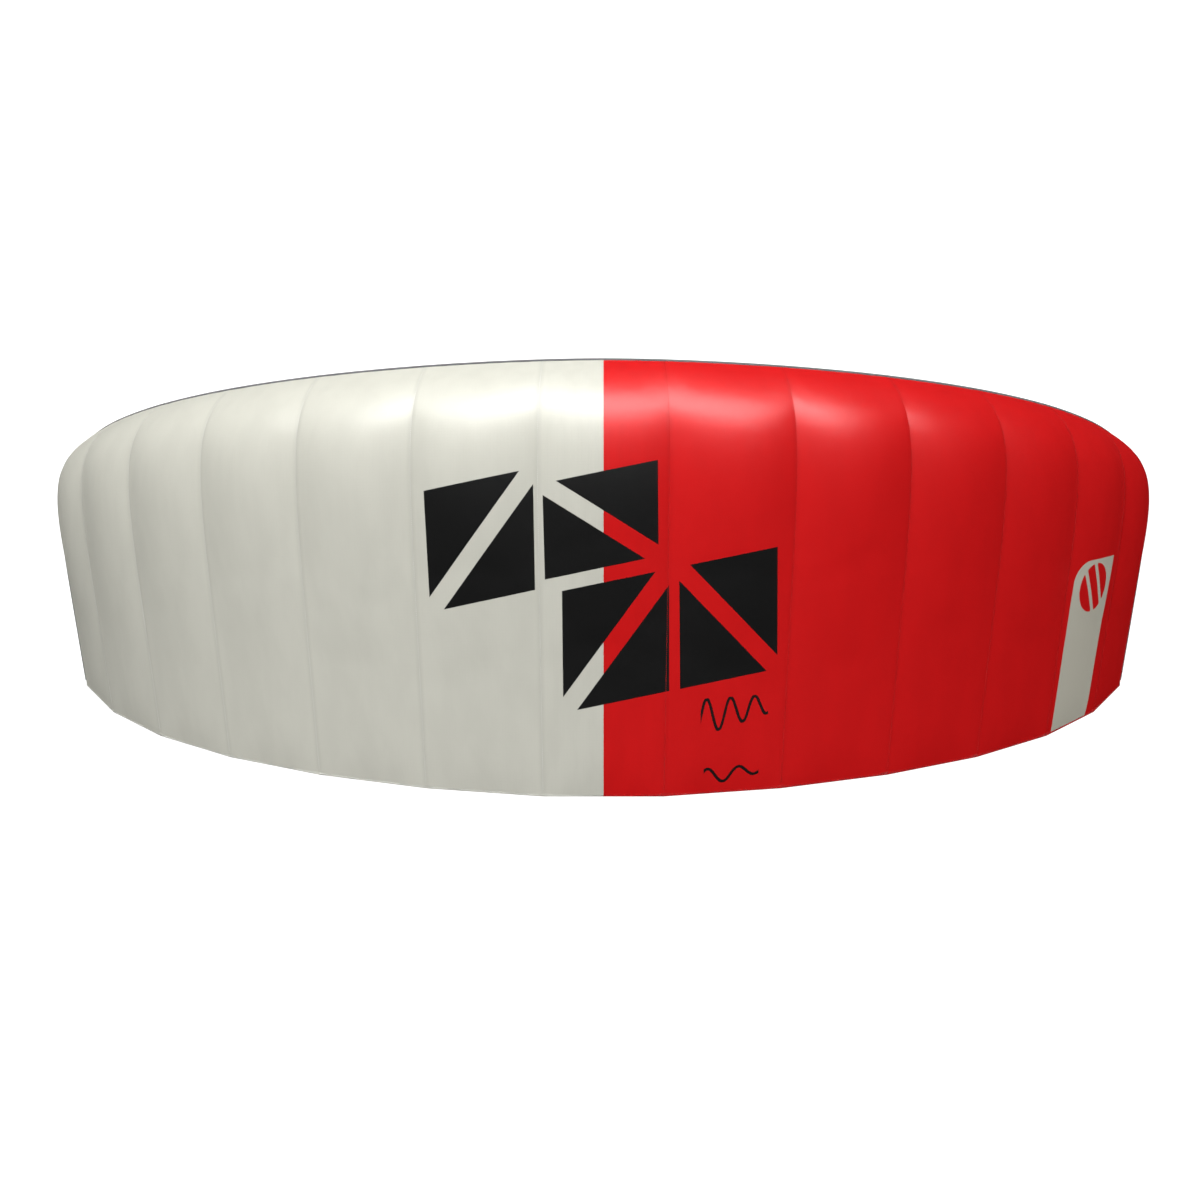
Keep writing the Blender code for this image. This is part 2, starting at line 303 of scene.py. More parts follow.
SLOPE = 0.205  # the printed tiles rise this much to the right
TILES = (  # left, right, the height of the top at the left, height, lean, and which way the gap runs
    (-0.286, -0.112, 0.139, 0.193, 0.010, 1),
    (-0.097, 0.086, 0.150, 0.152, 0.004, -1),
    (-0.066, 0.104, -0.020, 0.194, 0.002, 1),
    (0.120, 0.277, 0.018, 0.194, 0.002, -1),
)
TILE_GAP = 0.015  # half the width of the gap across a tile
WAVES = (  # left, length, middle height, rise, swing, turns a metre, phase
    (0.155, 0.108, -0.222, 0.20, 0.028, 26.0, 0.0),
    (0.160, 0.088, -0.318, 0.16, 0.013, 20.0, 0.8),
)
WAVE_WIDTH = 0.0044
STRIPED_CELL = 5
STRIPE_SIDES = (0.09, 0.80)  # shares of the cell's width
STRIPE_FRONT = 0.50  # share of the skin's length, at the stripe's left side
STRIPE_SLANT, STRIPE_CORNER = 0.10, 0.035
DISC_RADIUS, DISC_BEHIND = 0.041, 0.042  # and how far its centre is behind the stripe's front
BAND_OFFSET, BAND_GAP = 0.0135, 0.004  # of the two gaps that cut the disc: place, and half the width


def beyond_line(nodes, plan, a, b):
    """How far a point of the plan is to the right of the line from a to b."""
    line = np.subtract(b, a)
    across = np.array((line[1], -line[0])) / np.hypot(*line)
    inputs = {0: plan, 1: (across[0], across[1], -float(np.dot(across, a)))}
    return nodes.add("ShaderNodeVectorMath", inputs, operation="DOT_PRODUCT").outputs["Value"]


def tile_distance(nodes, plan, left, right, top, tall, lean, way):
    """A slanted block, cut from corner to corner by a gap. Negative inside."""
    rise = SLOPE * (right - left)
    corners = [(left, top), (left + lean, top - tall)]
    corners += [(right + lean / 3, top + rise - tall), (right, top + rise)]
    sides = [beyond_line(nodes, plan, a, b) for a, b in zip(corners, corners[1:] + corners[:1])]
    middle = beyond_line(nodes, plan, *(corners[1::2] if way > 0 else corners[::2]))
    sides.append(nodes.math("SUBTRACT", TILE_GAP, nodes.math("ABSOLUTE", middle)))
    return nodes.fold("MAXIMUM", sides)


def wave_distance(nodes, x, y, left, length, middle, rise, swing, turns, phase):
    """A hand-drawn wavy line that calms down towards its right end. Negative inside."""
    run = nodes.math("SUBTRACT", x, left)
    turn = nodes.math("MULTIPLY_ADD", run, 2 * math.pi * turns, phase)
    calm = nodes.math("MULTIPLY_ADD", run, -0.5 * swing / length, swing)
    wave = nodes.math("MULTIPLY", nodes.math("SINE", turn), calm)
    line = nodes.math("ADD", nodes.math("MULTIPLY_ADD", run, rise, middle), wave)
    steepest = nodes.math("MULTIPLY", calm, 2 * math.pi * turns)
    steep = nodes.math("MULTIPLY", nodes.math("COSINE", turn), steepest)
    slant = nodes.math("SQRT", nodes.math("MULTIPLY_ADD", steep, steep, 1.0))
    away = nodes.math("DIVIDE", nodes.math("ABSOLUTE", nodes.math("SUBTRACT", y, line)), slant)
    from_middle = nodes.math("ABSOLUTE", nodes.math("SUBTRACT", run, length / 2))
    ends = nodes.math("SUBTRACT", from_middle, length / 2)
    return nodes.math("MAXIMUM", nodes.math("SUBTRACT", away, WAVE_WIDTH / 2), ends)


def print_distance(nodes):
    """Distance from the black print. The plan attribute holds each point's x and y at rest, and 1."""
    plan = nodes.add("ShaderNodeAttribute", attribute_name="plan").outputs["Vector"]
    x, y = nodes.add("ShaderNodeSeparateXYZ", {"Vector": plan}).outputs[:2]
    shapes = [tile_distance(nodes, plan, *tile) for tile in TILES]
    shapes += [wave_distance(nodes, x, y, *wave) for wave in WAVES]
    return nodes.fold("MINIMUM", shapes)


WHITE = (0.60, 0.595, 0.525)
RED = (0.62, 0.008, 0.009)
STRIPE = (0.53, 0.51, 0.43)
INK = (0.006, 0.006, 0.006)
RIPSTOP_PITCH = 0.005
WEAVE_PITCH = 0.0005
PAINTED_SHADE_WIDTH = 0.008  # how far from a seam the cloth is painted darker, as painted shade along the seam valleys


def ripstop(nodes):
    """(how much of a ripstop thread is here, height of the weave), from the UV map, which is in metres."""
    uv = nodes.add("ShaderNodeUVMap", uv_map="cloth").outputs[0]
    axes = nodes.add("ShaderNodeSeparateXYZ", {"Vector": uv}).outputs
    threads, weave = [], []
    for axis in axes[:2]:
        wave = nodes.math("COSINE", nodes.math("MULTIPLY", axis, 2 * math.pi / RIPSTOP_PITCH))
        threads.append(nodes.ramp(wave, 0.90, 0.985))
        weave.append(nodes.math("SINE", nodes.math("MULTIPLY", axis, 2 * math.pi / WEAVE_PITCH)))
    return nodes.math("MAXIMUM", *threads), nodes.math("MULTIPLY", *weave)


def scaled(colour, share):
    return tuple(part * share for part in colour) + (1,)


def skin_material(name, colour, printed=False):
    """Coated ripstop cloth: a fine weave, raised threads in squares, a soft gloss, and painted shade along
    the seams.
    """
    nodes = Nodes(name)
    thread, weave = ripstop(nodes)
    cloud = nodes.ramp(nodes.noise(5.0, 4.0), 0.3, 0.7)
    shade = nodes.mix(cloud, scaled(colour, 0.955), scaled(colour, 1))
    shade = nodes.mix(nodes.math("MULTIPLY", thread, 0.10), shade, scaled(colour, 0.80))
    # painted shade: the cloth is painted up to 10% darker close to each seam, where the valleys and ribs are
    shade = nodes.mix(nodes.ramp(nodes.attribute("seam"), 0.0, PAINTED_SHADE_WIDTH), scaled(colour, 0.90), shade)
    rough = nodes.math("ADD", 0.34, nodes.math("MULTIPLY", nodes.noise(60.0, 2.0), 0.06))
    if printed:
        stripe = nodes.ramp(nodes.attribute("stripe"), 0.0004, -0.0004)
        shade = nodes.mix(stripe, shade, scaled(STRIPE, 1))
        ink = nodes.ramp(print_distance(nodes), 0.0003, -0.0003)
        shade = nodes.mix(ink, shade, scaled(INK, 1))
        rough = nodes.math("ADD", rough, nodes.math("MULTIPLY", ink, 0.06))
    nodes.put(shade, nodes.shader.inputs["Base Color"])
    nodes.put(rough, nodes.shader.inputs["Roughness"])
    cloth = nodes.math("ADD", nodes.math("MULTIPLY", thread, 0.45), nodes.math("MULTIPLY", weave, 0.07))
    crumple = nodes.math("MULTIPLY", nodes.noise(38.0, 3.0), 1.2)
    relief = {"Height": nodes.math("ADD", cloth, crumple), "Strength": 0.22, "Distance": 0.0004}
    nodes.put(nodes.add("ShaderNodeBump", relief).outputs[0], nodes.shader.inputs["Normal"])
    nodes.shader.inputs["Specular IOR Level"].default_value = 0.8
    return nodes.material


def plain_cloth(name, colour, scale, roughness=0.75, strength=0.4):
    """Uncoated cloth, tape, net or thread: a woven bump at its own scale and slightly uneven colour."""
    nodes = Nodes(name)
    place = nodes.add("ShaderNodeTexCoord").outputs["Object"]
    cloud = nodes.ramp(nodes.noise(30.0, 3.0, place), 0.3, 0.7)
    nodes.put(nodes.mix(cloud, scaled(colour, 0.82), scaled(colour, 1)), nodes.shader.inputs["Base Color"])
    axes = nodes.add("ShaderNodeSeparateXYZ", {"Vector": place}).outputs
    waves = [nodes.math("SINE", nodes.math("MULTIPLY", axis, 2 * math.pi / scale)) for axis in axes]
    weave = nodes.math("ADD", nodes.math("MULTIPLY", waves[0], waves[1]), waves[2])
    bump = nodes.add("ShaderNodeBump", {"Height": weave, "Strength": strength, "Distance": scale / 6})
    nodes.put(bump.outputs[0], nodes.shader.inputs["Normal"])
    nodes.shader.inputs["Roughness"].default_value = roughness
    nodes.shader.inputs["Specular IOR Level"].default_value = 0.3
    nodes.shader.inputs["Sheen Weight"].default_value = 0.1
    return nodes.material


MATERIALS = {
    "white": skin_material("white ripstop", WHITE),
    "red": skin_material("red ripstop", RED),
    "white_printed": skin_material("white ripstop, printed", WHITE, printed=True),
    "red_printed": skin_material("red ripstop, printed", RED, printed=True),
    "rib": plain_cloth("rib cloth", (0.72, 0.72, 0.70), 0.0008),
    "net": plain_cloth("intake net", (0.10, 0.10, 0.105), 0.0010),
    "binding": plain_cloth("grey binding tape", (0.16, 0.16, 0.165), 0.0012),
    "white_tape": plain_cloth("white hem tape", (0.58, 0.575, 0.51), 0.0009),
    "red_tape": plain_cloth("red hem tape", (0.50, 0.008, 0.009), 0.0009),
    "webbing": plain_cloth("black webbing", (0.012, 0.012, 0.013), 0.0014, strength=0.8),
    "white_thread": plain_cloth("white thread", (0.70, 0.70, 0.66), 0.0005),
    "red_thread": plain_cloth("red thread", (0.50, 0.01, 0.01), 0.0005),
    "black_thread": plain_cloth("black thread", (0.02, 0.02, 0.02), 0.0005),
}


# --- Meshes from grids ----------------------------------------------------------------------------


def grid_faces(across, along, start=0):
    """Squares of a grid whose points run along first, facing the way that across x along points."""
    rows = np.arange(across)[:, None] * (along + 1) + np.arange(along)[None, :] + start
    step = along + 1
    return np.stack((rows, rows + step, rows + step + 1, rows + 1), -1).reshape(-1, 4)


def mesh_object(name, points, faces, material, smooth=True):
    data = bpy.data.meshes.new(name)
    faces = faces.tolist() if isinstance(faces, np.ndarray) else faces
    data.from_pydata(np.asarray(points, float).reshape(-1, 3).tolist(), [], faces)
    if smooth:
        data.shade_smooth()
    data.materials.append(MATERIALS[material])
    obj = bpy.data.objects.new(name, data)
    bpy.context.scene.collection.objects.link(obj)
    return obj


def put_uv(obj, across, along):
    """The UV map named cloth, in metres, from two arrays with one value to a point."""
    corners = np.empty(len(obj.data.loops), int)
    obj.data.loops.foreach_get("vertex_index", corners)
    layer = obj.data.uv_layers.new(name="cloth")
    layer.data.foreach_set("uv", np.stack((across.ravel(), along.ravel()), -1)[corners].astype("f").ravel())


def put_attribute(obj, name, values):
    layer = obj.data.attributes.new(name, "FLOAT", "POINT")
    layer.data.foreach_set("value", np.asarray(values, "f").ravel())


def put_plan(obj, points):
    """Each point's x and y at rest, and 1, so that a print stays on the cloth when the wing bends."""
    plan = points.reshape(-1, 3).copy()
    plan[:, 2] = 1
    layer = obj.data.attributes.new("plan", "FLOAT_VECTOR", "POINT")
    layer.data.foreach_set("vector", plan.astype("f").ravel())


def finer(grid, times):
    """A grid of points with times as many squares each way, on smooth curves through the old points."""
    for axis in (0, 1):
        grid = np.moveaxis(grid, axis, 0)
        ends = np.concatenate((2 * grid[:1] - grid[1:2], grid, 2 * grid[-1:] - grid[-2:-1]))
        a, b, c, d = ends[:-3], ends[1:-2], ends[2:-1], ends[3:]
        made = []
        for step in range(times):
            t = step / times
            square, cube = 2 * a - 5 * b + 4 * c - d, 3 * b - a - 3 * c + d
            made.append(0.5 * (2 * b + (c - a) * t + square * t**2 + cube * t**3))
        made = np.stack(made, 1).reshape(-1, *grid.shape[1:])
        grid = np.moveaxis(np.concatenate((made, grid[-1:])), 0, axis)
    return grid


# --- Skins ----------------------------------------------------------------------------------------


def stations(upper):
    """Places along the chord of the skin's points, closer together towards the nose."""
    front, power = (0, 1.5) if upper else (INTAKE_END, 1.2)
    return front + (1 - front) * np.linspace(0, 1, SIM_ALONG + 1) ** power


def skin_grids(upper):
    """The skins of all cells as cut: an array of cell, point across, point along, and x, y, z."""
    v, u = np.meshgrid(np.linspace(0, 1, SIM_ACROSS + 1), stations(upper), indexing="ij")
    return np.stack([skin_points(cell, u, v, upper) for cell in range(-HALF, HALF + 1)])


def smoothed(grids, axis):
    """Each point averaged with its neighbours along an axis, apart from the first and the last."""
    rows = np.moveaxis(grids, axis, 0).copy()
    rows[1:-1] = 0.25 * rows[:-2] + 0.5 * rows[1:-1] + 0.25 * rows[2:]
    return np.moveaxis(rows, 0, axis)


def inflate(grids, upper):
    """The cells under air pressure, held at the ribs, the nose and the trailing edge, by cloth simulation."""
    cells, across, along = grids.shape[:3]
    flip = slice(None, None, -1) if upper else slice(None)
    count = across * along
    faces = [grid_faces(across - 1, along - 1, cell * count)[:, flip] for cell in range(cells)]
    faces = np.concatenate(faces)
    obj = mesh_object("simulated skins", grids, faces, "white")
    held = np.zeros((cells, across, along), bool)
    held[:, (0, -1)] = held[:, :, (0, -1)] = True
    group = obj.vertex_groups.new(name="held")
    group.add(np.flatnonzero(held.ravel()).tolist(), 1, "REPLACE")
    cloth = obj.modifiers.new("Cloth", "CLOTH")
    settings = cloth.settings
    settings.quality = 6
    settings.mass = 0.12
    settings.tension_stiffness = settings.compression_stiffness = 60
    settings.shear_stiffness = 20
    settings.bending_stiffness = 0.5
    settings.tension_damping = settings.compression_damping = settings.shear_damping = 15
    settings.air_damping = 4
    settings.vertex_group_mass = group.name
    settings.shrink_min = -SPARE_CLOTH
    settings.use_pressure = True
    settings.uniform_pressure_force = PRESSURE
    settings.effector_weights.gravity = 0
    cloth.collision_settings.use_collision = False
    cloth.point_cache.frame_start, cloth.point_cache.frame_end = 1, SIM_FRAMES
    scene = bpy.context.scene
    for number in range(1, SIM_FRAMES + 1):
        scene.frame_set(number)
    data = bpy.data.meshes.new_from_object(obj.evaluated_get(bpy.context.evaluated_depsgraph_get()))
    made = np.empty(grids.size)
    data.vertices.foreach_get("co", made)
    scene.frame_set(1)
    bpy.data.objects.remove(obj)
    moved = made.reshape(grids.shape) - grids
    for _ in range(SIM_SMOOTHING):
        for axis in (1, 2):
            moved = smoothed(moved, axis)
    length = np.linalg.norm(moved, axis=-1, keepdims=True)
    print(f"inflated skins: moved up to {length.max():.4f}, mean {length.mean():.4f}")
    return grids + moved * np.minimum(1, SIM_LIMIT / np.maximum(length, 1e-9))


def panel_object(name, grid, material, upper, v_range, width):
    """One panel from its grid of points, with a UV map in metres and the distance to the nearest seam."""
    across, along = grid.shape[0] - 1, grid.shape[1] - 1
    faces = grid_faces(across, along)
    if upper:
        faces = faces[:, ::-1]
    obj = mesh_object(name, grid, faces, material)
    steps = np.linalg.norm(np.diff(grid, axis=1), axis=-1).mean(0)
    run = np.concatenate(([0], np.cumsum(steps)))
    side = np.linspace(*v_range, across + 1) * width
    v_metres, u_metres = np.meshgrid(side, run, indexing="ij")
    put_uv(obj, v_metres, u_metres)
    put_attribute(obj, "seam", np.minimum(v_metres, width - v_metres))
    return obj, v_metres, u_metres


def stripe_distance(across, along, width):
    """Distance from the light stripe down the rear of one cell, negative inside.

    A disc in three bands is left out of the stripe, in the cell's own red.
    """
    left, right = (share * width for share in STRIPE_SIDES)
    front = STRIPE_FRONT * along.max()
    slant = front - STRIPE_SLANT * (across - left)
    box = np.maximum(np.maximum(left - across, across - right), slant - along)
    corner_x, corner_y = left + STRIPE_CORNER - across, slant + STRIPE_CORNER - along
    rounded_corner = np.hypot(corner_x, corner_y) - STRIPE_CORNER
    box = np.where((corner_x > 0) & (corner_y > 0), rounded_corner, box)
    x, y = across - (left + right) / 2, along - front - DISC_BEHIND
    disc = np.hypot(x, y) - DISC_RADIUS
    slanted = (x - 0.6 * y) / math.hypot(1, 0.6)
    gap = np.abs(np.abs(slanted) - BAND_OFFSET) - BAND_GAP
    return np.maximum(box, -np.maximum(disc, -gap))


def make_upper_skins(grids):
    """The upper panels. The middle cell's is sewn from a white half and a red one."""
    for cell in range(-HALF, HALF + 1):
        number = cell + HALF + 1
        printed = abs(cell) <= 2 or cell == STRIPED_CELL
        grid = finer(grids[number - 1], PRINTED_FINENESS if printed else SKIN_FINENESS)
        width = cell_width(cell)
        middle = grid.shape[0] // 2
        halves = [("", slice(None), (0, 1), "white" if cell < 0 else "red")]
        if cell == 0:
            halves = [
                ("_white", slice(0, middle + 1), (0, 0.5), "white"),
                ("_red", slice(middle, None), (0.5, 1), "red"),
            ]
        for suffix, rows, v_range, colour in halves:
            label = f"{number:02d}{suffix}"
            material = f"{colour}_printed" if printed else colour
            name = f"upper_skin_{label}"
            piece, across, along = panel_object(name, grid[rows], material, True, v_range, width)
            if printed:
                put_plan(piece, grid[rows])
                striped = cell == STRIPED_CELL
                stripe = stripe_distance(across, along, width) if striped else np.ones(across.shape)
                put_attribute(piece, "stripe", stripe)
            attach(piece, cell, [f"upper_panel_{label}"])


def make_lower_skins(grids):
    for cell in range(-HALF, HALF + 1):
        label = f"{cell + HALF + 1:02d}"
        grid = finer(grids[cell + HALF], SKIN_FINENESS)
        piece, _, _ = panel_object(f"lower_skin_{label}", grid, "white", False, (0, 1), cell_width(cell))
        attach(piece, cell, [f"lower_panel_{label}"])


# --- Sewn details ---------------------------------------------------------------------------------


class Pile:
    """Points and faces of many small shapes, which become one mesh."""

    def __init__(self):
        self.points, self.faces, self.count = [], [], 0

    def add(self, points, faces):
        points = np.asarray(points, float).reshape(-1, 3)
        self.points.append(points)
        self.faces += [[corner + self.count for corner in face] for face in faces]
        self.count += len(points)

    def sweep(self, path, side, up, outline):
        """A closed outline of (side, up) pairs carried along a path, with both ends closed."""
        outline = np.asarray(outline)
        path = np.asarray(path, float)
        ring = path[:, None] + outline[None, :, :1] * side[:, None] + outline[None, :, 1:] * up[:, None]
        steps, turns = ring.shape[:2]
        rows = np.arange(steps - 1)[:, None] * turns
        turn = np.arange(turns)[None, :]
        after = (turn + 1) % turns
        faces = (rows + turn, rows + after, rows + turns + after, rows + turns + turn)
        faces = np.stack(faces, -1).reshape(-1, 4)
        ends = [list(range(turns))[::-1], list(range((steps - 1) * turns, steps * turns))]
        self.add(ring, faces.tolist() + ends)

    def stitches(self, path, up, pitch, length):
        """A row of thread stitches along a path. Each one is a short bead, flat underneath."""
        path = np.asarray(path, float)
        run = np.concatenate(([0], np.cumsum(np.linalg.norm(np.diff(path, axis=0), axis=-1))))
        count = max(1, int(run[-1] / pitch))
        centres = (np.arange(count) + 0.5) * run[-1] / count
        shifted = (centres - 1e-3, centres + 1e-3)
        at = [np.stack([np.interp(run_at, run, path[:, k]) for k in range(3)], -1) for run_at in shifted]
        normal = unit(np.stack([np.interp(centres, run, up[:, k]) for k in range(3)], -1))
        forward = unit(at[1] - at[0])
        side = np.cross(normal, forward)
        ends = ((-0.5, 0.35), (-0.3, 1), (0.3, 1), (0.5, 0.35))
        ring = ((-1, 0), (-0.7, 0.8), (0, 1), (0.7, 0.8), (1, 0))
        beads = np.empty((count, 4, 5, 3))
        middle = (at[0] + at[1]) / 2
        for row, (place, size) in enumerate(ends):
            for turn, (a, b) in enumerate(ring):
                rise = THREAD_RISE * (b * size * 1.6 - 0.35)
                across = side * (a * size * THREAD_WIDTH)
                beads[:, row, turn] = middle + forward * place * length + across + normal * rise
        across = np.arange(4)
        faces = []
        for row in range(3):
            base = row * 5 + across
            faces.append(np.stack((base, base + 5, base + 6, base + 1), -1))
        quads = np.concatenate(faces)
        caps = np.array([[0, 1, 2, 3, 4], [19, 18, 17, 16, 15]])
        starts = np.arange(count)[:, None, None] * 20
        bottom = np.array([[r * 5 + 4, r * 5 + 9, r * 5 + 5, r * 5] for r in range(3)])
        all_quads = np.concatenate((quads, bottom))[None] + starts
        all_caps = caps[None] + starts
        self.add(beads, all_quads.reshape(-1, 4).tolist() + all_caps.reshape(-1, 5).tolist())

    def make(self, name, material):
        return mesh_object(name, np.concatenate(self.points), self.faces, material) if self.points else None


def unit(vectors):
    return vectors / np.linalg.norm(vectors, axis=-1, keepdims=True)


def rounded(width, height, corner=0.5, steps=3):
    """A rectangle with rounded corners, as (side, up) pairs. corner is a share of the shorter side."""
    radius = corner * min(width, height)
    pairs = []
    for turn in range(4):
        middle = math.pi / 4 + turn * math.pi / 2
        x = math.copysign(width / 2 - radius, math.cos(middle))
        y = math.copysign(height / 2 - radius, math.sin(middle))
        for step in range(steps + 1):
            angle = turn * math.pi / 2 + step * math.pi / 2 / steps
            pairs.append((x + radius * math.cos(angle), y + radius * math.sin(angle)))
    return pairs


LOOP_SECTION = rounded(WEBBING_WIDTH, WEBBING, 0.45)


def tangents(path):
    return unit(np.gradient(path, axis=0))


def rows_of(vector, path):
    return np.tile(np.asarray(vector, float), (len(path), 1))


def section_of_cell(cell):
    """The CAD's stretch of nets and hem tapes that a cell is in."""
    if abs(cell) <= 2:
        return "centre"
    side = "right" if cell > 0 else "left"
    return f"{side}_mid" if abs(cell) <= 4 else f"{side}_tip"


def body_of_rib(place):
    if abs(place) < 3:
        return "centre"
    side = "right" if place > 0 else "left"
    return f"{side}_mid" if abs(place) < 5 else f"{side}_tip"


def lip_path(cells, upper):
    """Points along the nose, or along the lower lip of the intakes, over a run of cells."""
    u = 0.0 if upper else INTAKE_END
    pieces = []
    for cell in cells:
        v = np.linspace(0, 1, LIP_STEPS + 1)
        pieces.append(skin_points(cell, np.full_like(v, u), v, upper)[(0 if not pieces else 1):])
    return np.concatenate(pieces)


def hem_path(cells, forward):
    """Points of the chord surface, forward metres ahead of the trailing edge."""
    pieces = []
    for cell in cells:
        v = np.linspace(0, 1, HEM_STEPS + 1)[(0 if not pieces else 1):]
        left, right = cell_ribs(cell)
        a, b = (rib_points(rib, 1 - forward / rib.chord, 0) for rib in (left, right))
        pieces.append(a + (b - a) * v[:, None])
    return np.concatenate(pieces)


def cell_ups(cells, steps):
    """The outward direction at each point of a run of cells."""
    rows = []
    for cell in cells:
        v = np.linspace(0, 1, steps + 1)[(0 if not rows else 1):]
        left, right = cell_ribs(cell)
        rows += [outward(left.angle + (right.angle - left.angle) * share) for share in v]
    return np.array(rows)


def make_lips_and_nets():
    """The grey binding on both lips of the intakes, its stitches, and the net between the lips."""
    for name, _, cells in sections():
        cells = sorted(cells)
        section = section_of_cell(cells[0])
        binding, thread = Pile(), Pile()
        for upper in (True, False):
            path = lip_path(cells, upper)
            along = tangents(path)
            lean = np.array((0, 1.2, 0)) if upper else np.array((0, -0.5, 0))
            up = unit(cell_ups(cells, LIP_STEPS) + lean)
            up = unit(up - along * np.sum(up * along, -1, keepdims=True))
            side = np.cross(along, up)
            binding.sweep(path, side, up, rounded(LIP_WIDTH, LIP_THICKNESS))
            for shift in (-TAPE_ROW, TAPE_ROW):
                row = path + side * shift * LIP_WIDTH + up * LIP_THICKNESS / 2
                thread.stitches(row, up, *TAPE_STITCH)
        attach(binding.make(f"lip_binding_{name}", "binding"), cells[0])
        attach(thread.make(f"lip_stitches_{name}", "black_thread"), cells[0])
        make_net(name, cells, section)


def make_net(name, cells, section):
    """A knitted net: threads crossing at a regular pitch, from lip to lip."""
    pile_points, pile_faces, count = [], [], 0
    for cell in cells:
        across = max(8, round(cell_width(cell) / NET_PITCH))
        v = np.linspace(0, 1, across + 1)
        top = skin_points(cell, np.zeros_like(v), v, True)
        bottom = skin_points(cell, np.full_like(v, INTAKE_END), v, False)
        down = max(4, round(np.linalg.norm(top - bottom, axis=-1).mean() / NET_PITCH))
        w = np.linspace(0.03, 0.97, down + 1)
        grid = top[:, None] + (bottom - top)[:, None] * w[None, :, None]
        swell = 4 * (v * (1 - v))[:, None] * np.sin(np.pi * w)[None, :]
        grid = grid - swell[..., None] * NET_SWELL * outward(cell_angle(cell))
        grid[..., 1] += swell * NET_SWELL
        pile_points.append(grid.reshape(-1, 3))
        pile_faces.append(grid_faces(across, down, count))
        count += grid.shape[0] * grid.shape[1]
    sheet = mesh_object(f"net_{name}", np.concatenate(pile_points), np.concatenate(pile_faces), "net")
    wires = sheet.modifiers.new("Threads", "WIREFRAME")
    wires.thickness = NET_THREAD
    wires.use_replace = True
    wires.use_boundary = True
    wires.use_even_offset = False
    apply_modifiers(sheet)
    attach(sheet, cells[0], [f"intake_net_{section}"])


def apply_modifiers(obj):
    graph = bpy.context.evaluated_depsgraph_get()
    data = bpy.data.meshes.new_from_object(obj.evaluated_get(graph))
    obj.modifiers.clear()
    obj.data = data


def make_hems():
    """The tape folded over the trailing edge, in the skin's colour, with stitches on each face."""
    for name, _, cells in sections():
        cells = sorted(cells)
        parts = [(name, cells, "white" if cells[0] < 0 else "red")]
        if name == "centre":
            parts = [("centre_left", cells, "white"), ("centre_right", cells, "red")]
        for part, run, colour in parts:
            path = hem_path(run, HEM_DEPTH / 2)
            ups = cell_ups(run, HEM_STEPS)
            if name == "centre":
                middle = path[:, 0] <= 1e-6 if colour == "white" else path[:, 0] >= -1e-6
                path, ups = path[middle], ups[middle]
            forward = rows_of((0, 1, 0), path)
            pile, thread = Pile(), Pile()
            pile.sweep(path, forward, ups, rounded(HEM_DEPTH, HEM_THICKNESS))
            for shift in (-TAPE_ROW, TAPE_ROW):
                for face in (-1, 1):
                    row = path + forward * shift * HEM_DEPTH + ups * face * HEM_THICKNESS / 2
                    thread.stitches(row, ups * face, *TAPE_STITCH)
            section = section_of_cell(run[0])
            attach(pile.make(f"hem_tape_{part}", f"{colour}_tape"), run[0], [f"hem_tape_{section}"])
            attach(thread.make(f"hem_stitches_{part}", f"{colour}_thread"), run[0])


def seam_line(rib, upper, steps=120):
    start = 0.0 if upper else INTAKE_END
    u = start + (1 - HEM_DEPTH / rib.chord - start) * np.linspace(0, 1, steps + 1) ** 1.3
    return rib_points(rib, u, rib.chord * height(u, upper))


def make_seam_stitches():
    """A row of stitches in the valley between two cells, outside and underneath."""
    for place, rib in sorted(RIBS.items()):
        number = round(place + HALF + 1.5)
        outer, under = Pile(), Pile()
        for pile, upper in ((outer, True), (under, False)):
            path = seam_line(rib, upper)
            up = unit(np.cross(tangents(path), along_span(rib.angle)))
            up *= np.sign(np.sum(up * outward(rib.angle), -1, keepdims=True)) * (1 if upper else -1)
            pile.stitches(path, up, *SEAM_STITCH)
        colour = "white" if place < 0 else "red"
        for pile, label, thread, slot in (
            (outer, "upper", colour, f"upper_{colour}"),
            (under, "lower", "white", "lower_cloth"),
        ):
            piece = pile.make(f"seam_stitches_{label}_{number:02d}", f"{thread}_thread")
            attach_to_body(piece, body_of_rib(place))


def tip_grids():
    """The two wing ends: a grid from the lower seam to the upper one, swollen outwards."""
    grids = []
    for side in (-1, 1):
        rib = RIBS[side * (HALF + 0.5)]
        w, u = np.meshgrid(np.linspace(0, 1, TIP_ROWS + 1), stations(True), indexing="ij")
        low, high = height(u, False), height(u, True)
        points = rib_points(rib, u, rib.chord * (low + (high - low) * w))
        swell = TIP_SWELL * np.sin(np.pi * u**0.7) * 4 * w * (1 - w)
        grids.append(points + side * swell[..., None] * along_span(rib.angle))
    return np.stack(grids)


def make_tips(grids):
    for side, grid in zip((-1, 1), grids):
        rib = RIBS[side * (HALF + 0.5)]
        number = 1 if side < 0 else 2 * HALF + 2
        body = body_of_rib(rib.place)
        fine = finer(grid, 2)
        across, along = fine.shape[0] - 1, fine.shape[1] - 1
        faces = grid_faces(across, along)
        piece = mesh_object(f"wing_end_{number:02d}", fine, faces[:, ::-1] if side > 0 else faces, "rib")
        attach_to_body(piece, body)
        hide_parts(f"rib_{number:02d}")
        piping = Pile()
        for upper in (True, False):
            path = seam_line(rib, upper)
            up = unit(np.cross(tangents(path), along_span(rib.angle)))
            piping.sweep(path, rows_of(along_span(rib.angle), path), up, rounded(PIPING, PIPING))
        piece = piping.make(f"tip_piping_{number:02d}", "binding")
        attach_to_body(piece, body)


